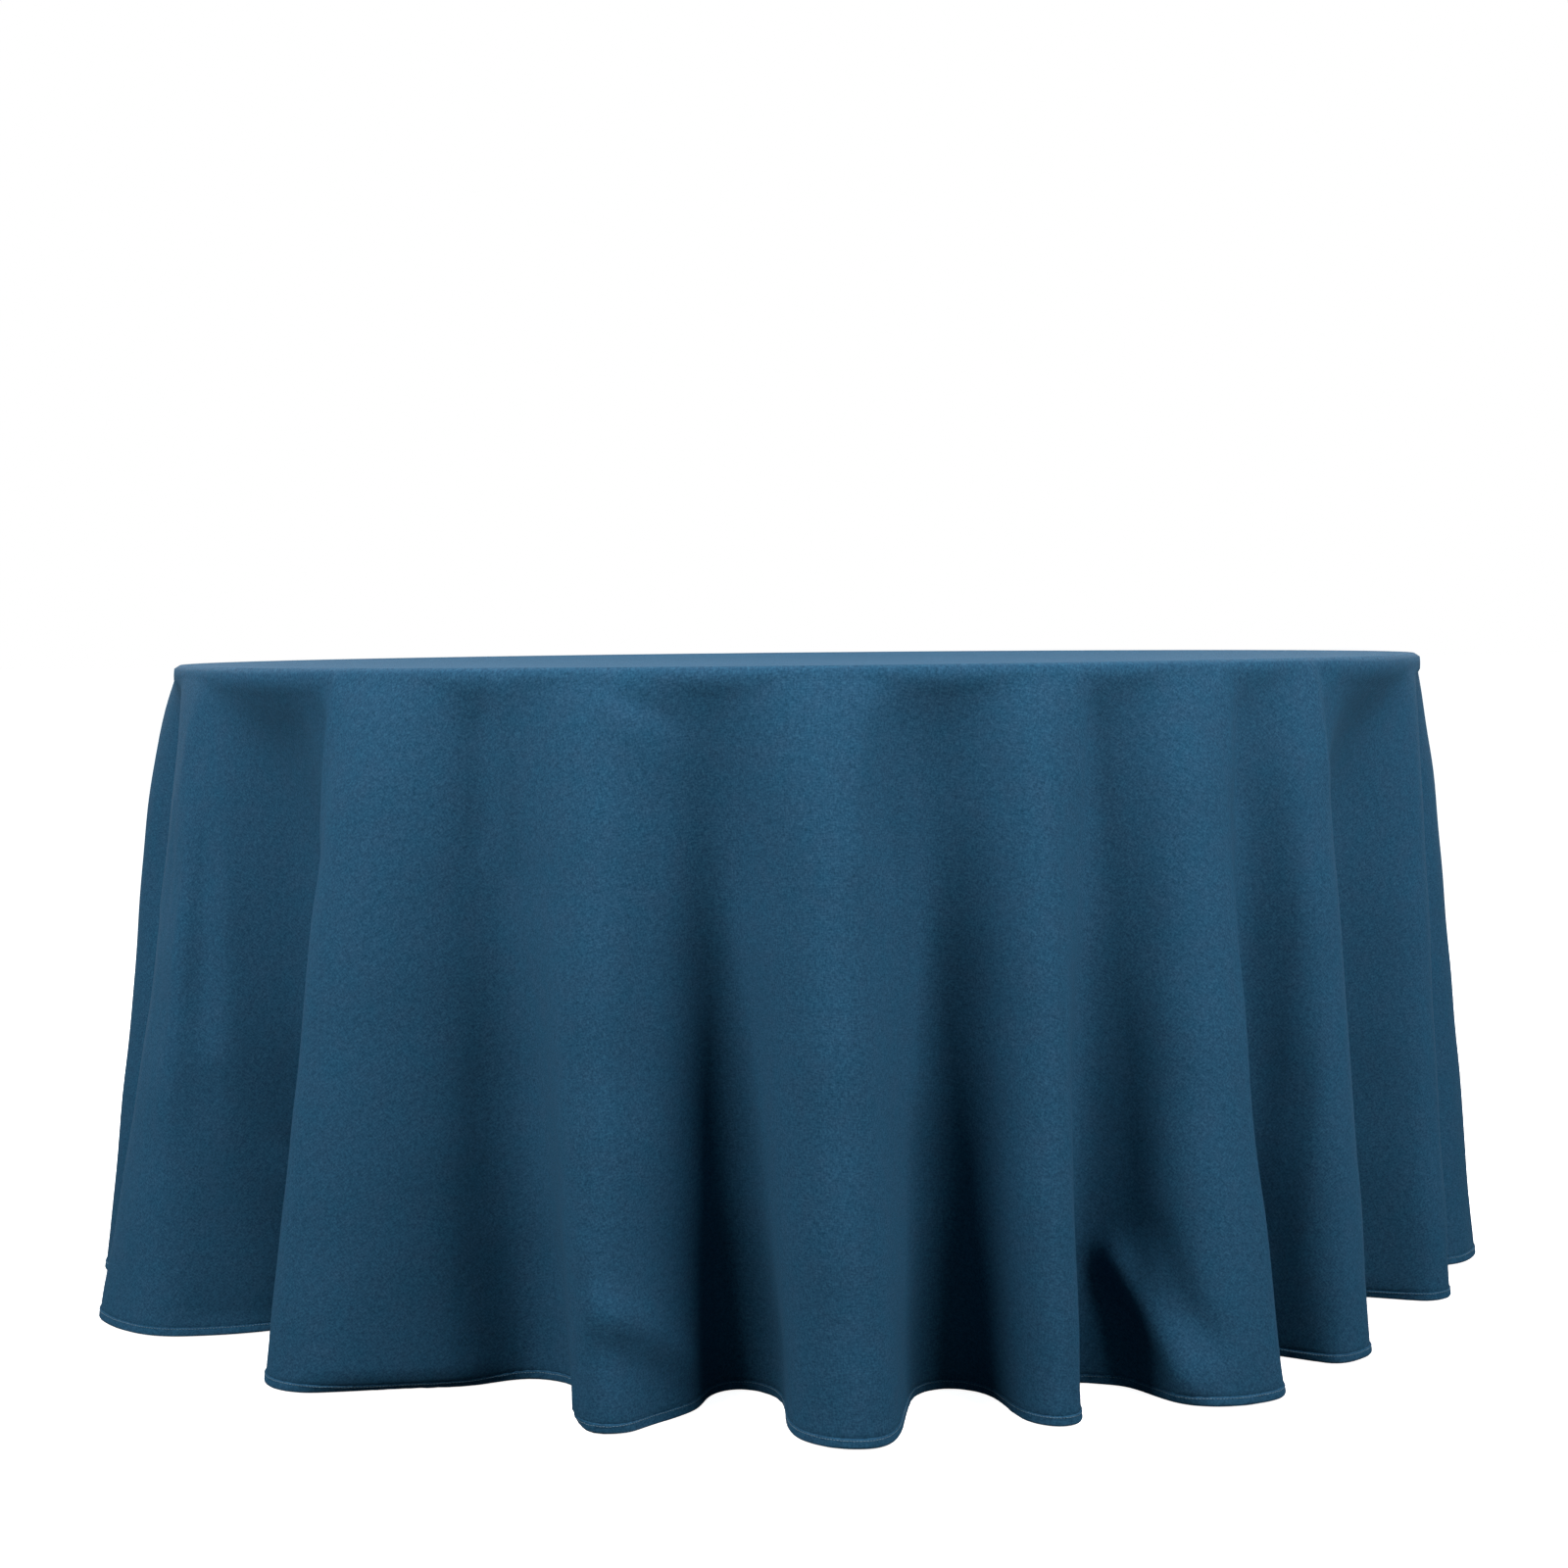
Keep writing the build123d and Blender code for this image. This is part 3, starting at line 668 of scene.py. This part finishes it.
# ------------------------------------------------------------------ materials
class Nodes:
    def __init__(s, name):
        s.mat = bpy.data.materials.new(name)
        s.mat.use_nodes = True
        s.t = s.mat.node_tree
        s.bsdf = s.t.nodes["Principled BSDF"]

    def add(s, kind, **kw):
        n = s.t.nodes.new(kind)
        for k, v in kw.items():
            setattr(n, k, v)
        return n

    def link(s, a, b):
        s.t.links.new(a, b)

    def put(s, sock, v):
        if hasattr(v, "is_linked") or isinstance(v, bpy.types.NodeSocket):
            s.link(v, sock)
        else:
            sock.default_value = v

    def uv(s, name="flat"):
        return s.add("ShaderNodeUVMap", uv_map=name).outputs["UV"]

    def obj(s):
        return s.add("ShaderNodeTexCoord").outputs["Object"]

    def scale(s, vec, x, y, z=1.):
        m = s.add("ShaderNodeMapping")
        m.inputs["Scale"].default_value = (x, y, z)
        s.link(vec, m.inputs["Vector"])
        return m.outputs["Vector"]

    def noise(s, vec, scale, detail=2., rough=.5, dist=0.):
        n = s.add("ShaderNodeTexNoise")
        s.link(vec, n.inputs["Vector"])
        n.inputs["Scale"].default_value = scale
        n.inputs["Detail"].default_value = detail
        n.inputs["Roughness"].default_value = rough
        n.inputs["Distortion"].default_value = dist
        return n.outputs["Fac"]

    def wave(s, vec, scale, axis="X", dist=0., dscale=1., detail=0.):
        n = s.add("ShaderNodeTexWave", wave_type="BANDS", bands_direction=axis, wave_profile="SIN")
        s.link(vec, n.inputs["Vector"])
        n.inputs["Scale"].default_value = scale
        n.inputs["Distortion"].default_value = dist
        n.inputs["Detail"].default_value = detail
        n.inputs["Detail Scale"].default_value = dscale
        return n.outputs["Fac"]

    def math(s, op, a, b=0., clamp=False):
        n = s.add("ShaderNodeMath", operation=op, use_clamp=clamp)
        s.put(n.inputs[0], a)
        s.put(n.inputs[1], b)
        return n.outputs[0]

    def span(s, v, a, b, c=0., d=1.):
        n = s.add("ShaderNodeMapRange")
        s.link(v, n.inputs[0])
        for i, x in enumerate((a, b, c, d)):
            n.inputs[i + 1].default_value = x
        return n.outputs[0]

    def ramp(s, v, stops):
        n = s.add("ShaderNodeValToRGB")
        e = n.color_ramp.elements
        e[0].position, e[0].color = stops[0][0], (*stops[0][1], 1)
        e[1].position, e[1].color = stops[-1][0], (*stops[-1][1], 1)
        for p, c in stops[1:-1]:
            q = e.new(p)
            q.color = (*c, 1)
        s.link(v, n.inputs["Fac"])
        return n.outputs["Color"]

    def mix(s, f, a, b, kind="MIX"):
        n = s.add("ShaderNodeMix", data_type="RGBA", blend_type=kind)
        s.put(n.inputs[0], f)
        for i, v in ((6, a), (7, b)):
            if isinstance(v, bpy.types.NodeSocket):
                s.link(v, n.inputs[i])
            else:
                n.inputs[i].default_value = (*v, 1)
        return n.outputs[2]

    def bump(s, h, dist, strength=1.):
        n = s.add("ShaderNodeBump")
        n.inputs["Strength"].default_value = strength
        n.inputs["Distance"].default_value = dist
        s.link(h, n.inputs["Height"])
        s.link(n.outputs["Normal"], s.bsdf.inputs["Normal"])

    def set(s, **kw):
        for k, v in kw.items():
            sock = s.bsdf.inputs[k.replace("_", " ")]
            s.put(sock, (*v, 1) if isinstance(v, tuple) else v)


def cloth_material(name, tint=1.0):
    """Heathered plain weave. Threads, slubs and shade all follow the sheet's own flat coordinates, in metres."""
    m = Nodes(name)
    uv = m.uv()
    warp = m.noise(m.scale(uv, 640, 190), 1, 3, .6)          # short slubs along the warp
    weft = m.noise(m.scale(uv, 190, 640), 1, 3, .6)          # and the weft
    fleck = m.noise(m.scale(uv, 430, 430), 1, 2, .6)
    soft = m.noise(m.scale(uv, 120, 120), 1, 3, .55)
    patch = m.noise(m.scale(uv, 5, 5), 1, 3, .5)
    tone = m.noise(m.scale(uv, 34, 34), 1, 3, .6)
    tx = m.wave(m.scale(uv, 1, 1), 350, "X")                 # threads 0.9 mm apart
    ty = m.wave(m.scale(uv, 1, 1), 350, "Y")
    weave = m.math("MULTIPLY", m.math("SUBTRACT", tx, .5), m.math("SUBTRACT", ty, .5))
    h = m.math("ADD", m.math("MULTIPLY", m.math("ADD", warp, weft), .35), m.math("MULTIPLY", fleck, .45))
    h = m.math("ADD", h, m.math("MULTIPLY", weave, .25))
    h = m.math("ADD", h, m.math("MULTIPLY", soft, .16))
    v = m.span(h, .515, .795)
    deep, mid, pale = (.0051, .0292, .0604), (.0103, .0492, .0963), (.0186, .0742, .1327)
    c = m.ramp(v, [(0., tuple(x * tint for x in deep)), (.5, tuple(x * tint for x in mid)), (1., tuple(x * tint for x in pale))])
    grey, teal = m.mix(1., c, (1.16, .985, .985), "MULTIPLY"), m.mix(1., c, (.84, 1.01, 1.01), "MULTIPLY")
    c = m.mix(m.span(tone, .3, .7), teal, grey)              # yarns of slightly different dye
    c = m.mix(m.span(patch, .3, .7, 0, .10), c, tuple(x * tint * .8 for x in deep))
    m.set(Base_Color=c, Specular_IOR_Level=.08)
    m.bsdf.inputs["Sheen Weight"].default_value = .035
    m.bsdf.inputs["Sheen Roughness"].default_value = .5
    m.bsdf.inputs["Sheen Tint"].default_value = (.22, .58, .90, 1.)
    m.link(m.span(v, 0, 1, .92, .82), m.bsdf.inputs["Roughness"])
    m.bump(m.math("ADD", m.math("MULTIPLY", m.math("ADD", tx, ty), .5), m.math("MULTIPLY", h, 1.2)), .00025, .6)
    return m.mat


def thread_material(name, dark, light):
    m = Nodes(name)
    p = m.obj()
    n = m.noise(p, 900, 3, .6)
    ply = m.wave(p, 1100, "DIAGONAL", .6)
    c = m.ramp(m.math("ADD", m.math("MULTIPLY", n, .6), m.math("MULTIPLY", ply, .4)), [(.25, dark), (.8, light)])
    m.set(Base_Color=c, Specular_IOR_Level=.3)
    m.link(m.span(n, .3, .7, .55, .75), m.bsdf.inputs["Roughness"])
    m.bump(ply, .0001, .5)
    return m.mat


def tape_material(name):
    m = Nodes(name)
    uv = m.uv()
    a = m.wave(uv, 900, "X")
    b = m.wave(uv, 1500, "Y")
    n = m.noise(m.scale(uv, 300, 300), 1, 2)
    c = m.ramp(m.math("ADD", m.math("MULTIPLY", m.math("ADD", a, b), .35), m.math("MULTIPLY", n, .3)), [(.2, (.66, .66, .64)), (.8, (.84, .84, .82))])
    m.set(Base_Color=c, Specular_IOR_Level=.35)
    m.link(m.span(n, .3, .7, .45, .6), m.bsdf.inputs["Roughness"])
    m.bump(m.math("ADD", a, b), .00012, .5)
    return m.mat


def wood_material(name, light, dark, grain="X", ring=14., rough=(.42, .6), layers=False):
    m = Nodes(name)
    p = m.obj()
    q = m.scale(p, *((1, 9, 9) if grain == "X" else (9, 1, 9)))
    big = m.noise(q, 3.2, 4, .55, .4)
    fine = m.noise(m.scale(p, *((6, 420, 420) if grain == "X" else (420, 6, 420))), 1, 3, .6)
    fig = m.wave(q, ring / 6, "Y" if grain == "X" else "X", 5., 1.2, 2.)
    v = m.math("ADD", m.math("MULTIPLY", big, .45), m.math("ADD", m.math("MULTIPLY", fine, .3), m.math("MULTIPLY", fig, .25)))
    c = m.ramp(v, [(.25, dark), (.5, tuple((a + b) / 2 for a, b in zip(light, dark))), (.78, light)])
    if layers:
        ply = m.wave(p, 105, "Z")                            # 3 mm plies on the cut edges
        edge = m.add("ShaderNodeNewGeometry")
        sep = m.add("ShaderNodeSeparateXYZ")
        m.link(edge.outputs["True Normal"], sep.inputs[0])
        side = m.math("SUBTRACT", 1., m.math("ABSOLUTE", sep.outputs[2]))
        c = m.mix(m.math("MULTIPLY", side, m.span(ply, .3, .7, 0, .6)), c, tuple(x * .5 for x in dark))
    m.set(Base_Color=c, Specular_IOR_Level=.4)
    m.link(m.span(v, .3, .7, rough[1], rough[0]), m.bsdf.inputs["Roughness"])
    m.bump(m.math("ADD", m.math("MULTIPLY", fine, .7), m.math("MULTIPLY", big, .3)), .0004, .4)
    return m.mat


def plastic_material(name, a, b, rough=(.4, .55), grain=900., depth=.00015):
    m = Nodes(name)
    p = m.obj()
    n = m.noise(p, grain, 3, .6)
    w = m.noise(p, 14, 3, .55)
    m.set(Base_Color=m.ramp(m.math("ADD", m.math("MULTIPLY", n, .5), m.math("MULTIPLY", w, .5)), [(.3, a), (.7, b)]), Specular_IOR_Level=.45)
    m.link(m.span(w, .3, .7, rough[0], rough[1]), m.bsdf.inputs["Roughness"])
    m.bump(n, depth, .5)
    return m.mat


def metal_material(name, a, b, rough=(.25, .45), brush=None, spangle=0., coat=False):
    m = Nodes(name)
    p = m.obj()
    w = m.noise(p, 22, 4, .6)
    f = m.noise(m.scale(p, *(brush or (300, 300, 300))), 1, 3, .6)
    v = m.math("ADD", m.math("MULTIPLY", w, .5), m.math("MULTIPLY", f, .5))
    if spangle:
        n = m.add("ShaderNodeTexVoronoi", feature="F1")
        m.link(p, n.inputs["Vector"])
        n.inputs["Scale"].default_value = spangle
        v = m.math("ADD", m.math("MULTIPLY", v, .7), m.math("MULTIPLY", m.span(n.outputs["Distance"], 0, .8), .3))
    m.set(Base_Color=m.ramp(v, [(.3, a), (.7, b)]))
    m.bsdf.inputs["Metallic"].default_value = 0. if coat else 1.
    if coat:
        m.bsdf.inputs["Specular IOR Level"].default_value = .5
        m.bsdf.inputs["Coat Weight"].default_value = .15
        m.bsdf.inputs["Coat Roughness"].default_value = .3
    m.link(m.span(w, .3, .7, rough[0], rough[1]), m.bsdf.inputs["Roughness"])
    m.bump(f, .0001 if not coat else .0003, .4)
    return m.mat


cloth_mat = cloth_material("Heathered_cloth")
hem_mat = cloth_material("Heathered_cloth_hem", 1.06)
thread_mat = thread_material("Hem_thread", (.055, .11, .155), (.15, .23, .29))
tape_mat = tape_material("Label_tape")
mats = {
    "plywood": wood_material("Birch_plywood", (.62, .43, .25), (.42, .26, .13), "X", 12, layers=True),
    "hardwood": wood_material("Runner_hardwood", (.46, .29, .15), (.27, .15, .07), "X", 20),
    "laminate": wood_material("Laminate_top", (.33, .20, .11), (.17, .09, .045), "X", 16, (.34, .46)),
    "vinyl_edge": plastic_material("Vinyl_edge", (.020, .013, .009), (.034, .023, .016), (.38, .5)),
    "coated_tube": metal_material("Powder_coated_tube", (.045, .048, .05), (.062, .066, .07), (.38, .5), (700, 700, 700), coat=True),
    "zinc_steel": metal_material("Zinc_pressed_steel", (.36, .37, .38), (.52, .53, .55), (.3, .46), spangle=260.),
    "bright_steel": metal_material("Bright_steel", (.46, .46, .46), (.62, .62, .62), (.16, .28), (60, 900, 900)),
    "spring_steel": metal_material("Spring_wire", (.24, .24, .25), (.36, .36, .37), (.25, .38), (900, 900, 200)),
    "zinc_screw": metal_material("Zinc_screw", (.45, .43, .36), (.62, .60, .52), (.28, .42), (700, 700, 700)),
    "foot_plastic": plastic_material("Foot_plastic", (.010, .010, .011), (.018, .018, .019), (.45, .6)),
}


def paint(ob, mat):
    if not ob.material_slots:
        ob.data.materials.append(mat)
        return
    for s in ob.material_slots:
        s.link = "OBJECT"
        s.material = mat


for ob, mat, slot in ((cloth, cloth_mat, "cloth"), (hem, hem_mat, "cloth"), (stitches, thread_mat, "thread"), (label, tape_mat, "label_tape")):
    ob.data.materials.append(mat)
    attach(ob, "tablecloth")
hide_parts("tablecloth_panel")
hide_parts("tablecloth_hem")
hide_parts("hem_stitching")
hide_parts("care_label")

# The springs ride with the bolt.
for side, sign in (("left", 1), ("right", -1)):
    ob, collar, keep = build_spring(side, sign)
    ob.data.materials.append(mats["spring_steel"])
    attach(ob, side + "_lock")
    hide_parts(side + "_lock_spring")
    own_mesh(ob)

KINDS = {
    "top_panel": "plywood", "top_laminate": "laminate", "edge_moulding": "vinyl_edge", "runner_front": "hardwood", "runner_rear": "hardwood",
    "runner_screws": "zinc_screw", "bracket_screws": "zinc_screw", "lock_screws": "zinc_screw",
}
for side in ("left", "right"):
    KINDS.update({
        side + "_bracket_front": "zinc_steel", side + "_bracket_rear": "zinc_steel", side + "_lock_housing": "zinc_steel",
        side + "_pivot_tube": "coated_tube", side + "_leg_front": "coated_tube", side + "_leg_rear": "coated_tube", side + "_stretcher": "coated_tube",
        side + "_lock_cam": "zinc_steel", side + "_lock_bolt": "bright_steel", side + "_lock_spring": "spring_steel",
        side + "_foot_front": "foot_plastic", side + "_foot_rear": "foot_plastic",
    })
for name, ob in nodes.items():
    if name in KINDS:
        paint(ob, mats[KINDS[name]])
    elif name not in ("tablecloth_panel", "tablecloth_hem", "hem_stitching", "care_label", "left_lock_spring", "right_lock_spring"):
        print("no material for", name)

# ------------------------------------------------------------------ camera
cam_data = bpy.data.cameras.new("Camera")
cam_data.sensor_width = 36
cam_data.sensor_fit = "HORIZONTAL"
cam_data.lens = 59.8376
cam = bpy.data.objects.new("Camera", cam_data)
scene.collection.objects.link(cam)
pitch, roll = math.radians(3.371), -.0102
R0 = np.array([1., 0, 0])
F0 = np.array([0, math.cos(pitch), -math.sin(pitch)])
U0 = np.array([0, math.sin(pitch), math.cos(pitch)])
cr = math.cos(roll) * R0 + math.sin(roll) * U0
cu = -math.sin(roll) * R0 + math.cos(roll) * U0
mw = np.eye(4)
mw[:3, 0], mw[:3, 1], mw[:3, 2], mw[:3, 3] = cr, cu, -F0, (-.01692, -3.28794, .77833)
cam.matrix_world = Matrix(mw.tolist())
scene.camera = cam

# ------------------------------------------------------------------ floor and light
def plane(name, k, z):
    return mesh_object(name, np.array([[-k, -k, z], [k, -k, z], [k, k, z], [-k, k, z]]), [np.array([[0, 1, 2, 3]])], smooth=False)


floor_m = Nodes("Studio_floor")
fn = floor_m.noise(floor_m.obj(), 6, 3)
floor_m.set(Base_Color=floor_m.ramp(fn, [(.3, (.80, .80, .80)), (.7, (.82, .82, .82))]), Specular_IOR_Level=.1)
floor_m.bsdf.inputs["Roughness"].default_value = .8
floor_m.bsdf.inputs["Emission Color"].default_value = (1, 1, 1, 1)
floor_m.bsdf.inputs["Emission Strength"].default_value = .94
floor = plane("Floor", 60., -.0006)
floor.data.materials.append(floor_m.mat)
# the camera sees the bright floor; the object is lit by the light that a duller one sends back
floor.visible_diffuse = floor.visible_glossy = floor.visible_shadow = False
under_m = Nodes("Studio_floor_bounce")
fn = under_m.noise(under_m.obj(), 6, 3)
under_m.set(Base_Color=under_m.ramp(fn, [(.3, (.034, .036, .036)), (.7, (.036, .038, .038))]), Specular_IOR_Level=.1)
bounce = plane("Floor_bounce", 20., -.0012)
bounce.data.materials.append(under_m.mat)
bounce.visible_camera = False

world = bpy.data.worlds.new("Studio")
scene.world = world
world.use_nodes = True
wt = world.node_tree
bg = wt.nodes["Background"]
coord = wt.nodes.new("ShaderNodeTexCoord")
toward = wt.nodes.new("ShaderNodeVectorMath")            # weak light from above, all round
toward.operation = "DOT_PRODUCT"
el = math.radians(75)
toward.inputs[1].default_value = (0, -math.cos(el), math.sin(el))
wt.links.new(coord.outputs["Generated"], toward.inputs[0])
fall = wt.nodes.new("ShaderNodeMapRange")
fall.interpolation_type = "SMOOTHSTEP"
for i, v in enumerate((-.2, 1., 0., .33)):
    fall.inputs[i + 1].default_value = v
wt.links.new(toward.outputs["Value"], fall.inputs[0])
bg.inputs["Color"].default_value = (.70, 1., 1.06, 1)
wt.links.new(fall.outputs[0], bg.inputs["Strength"])
sky = wt.nodes.new("ShaderNodeBackground")               # what the camera sees behind the object: plain white
sky.inputs["Color"].default_value = (1, 1, 1, 1)
sky.inputs["Strength"].default_value = 1.
path = wt.nodes.new("ShaderNodeLightPath")
both = wt.nodes.new("ShaderNodeMixShader")
wt.links.new(path.outputs["Is Camera Ray"], both.inputs[0])
wt.links.new(bg.outputs[0], both.inputs[1])
wt.links.new(sky.outputs[0], both.inputs[2])
wt.links.new(both.outputs[0], wt.nodes["World Output"].inputs["Surface"])


def area(name, where, at, size, power, color=(1, 1, 1)):
    d = bpy.data.lights.new(name, "AREA")
    d.shape = "RECTANGLE"
    d.size, d.size_y = size
    d.energy = power
    d.color = color
    o = bpy.data.objects.new(name, d)
    scene.collection.objects.link(o)
    z = np.array(where, float) - np.array(at, float)
    z /= np.linalg.norm(z)
    x = np.cross((0, 0, 1), z)
    x /= np.linalg.norm(x)
    y = np.cross(z, x)
    m = np.eye(4)
    m[:3, 0], m[:3, 1], m[:3, 2], m[:3, 3] = x, y, z, where
    o.matrix_world = Matrix(m.tolist())
    return o


for name, k in (("Softbox_left", -1), ("Softbox_right", 1)):
    a = math.radians(44)
    area(name, (k * 2.7 * math.sin(a), -2.7 * math.cos(a), 2.15), (0, 0, .45), (1.4, 1.4), 124, (1.09, 1., .975))
for name, k in (("Back_left", -1), ("Back_right", 1)):
    a = math.radians(138)
    area(name, (k * 2.9 * math.sin(a), -2.9 * math.cos(a), 2.2), (0, 0, .45), (1.5, 1.5), 75, (1.06, 1., .985))
area("Overhead", (0, .7, 2.8), (0, 0, .74), (1.6, 1.6), 34, (1., 1., 1.))
scene.view_settings.view_transform = "Standard"
scene.view_settings.look = "None"
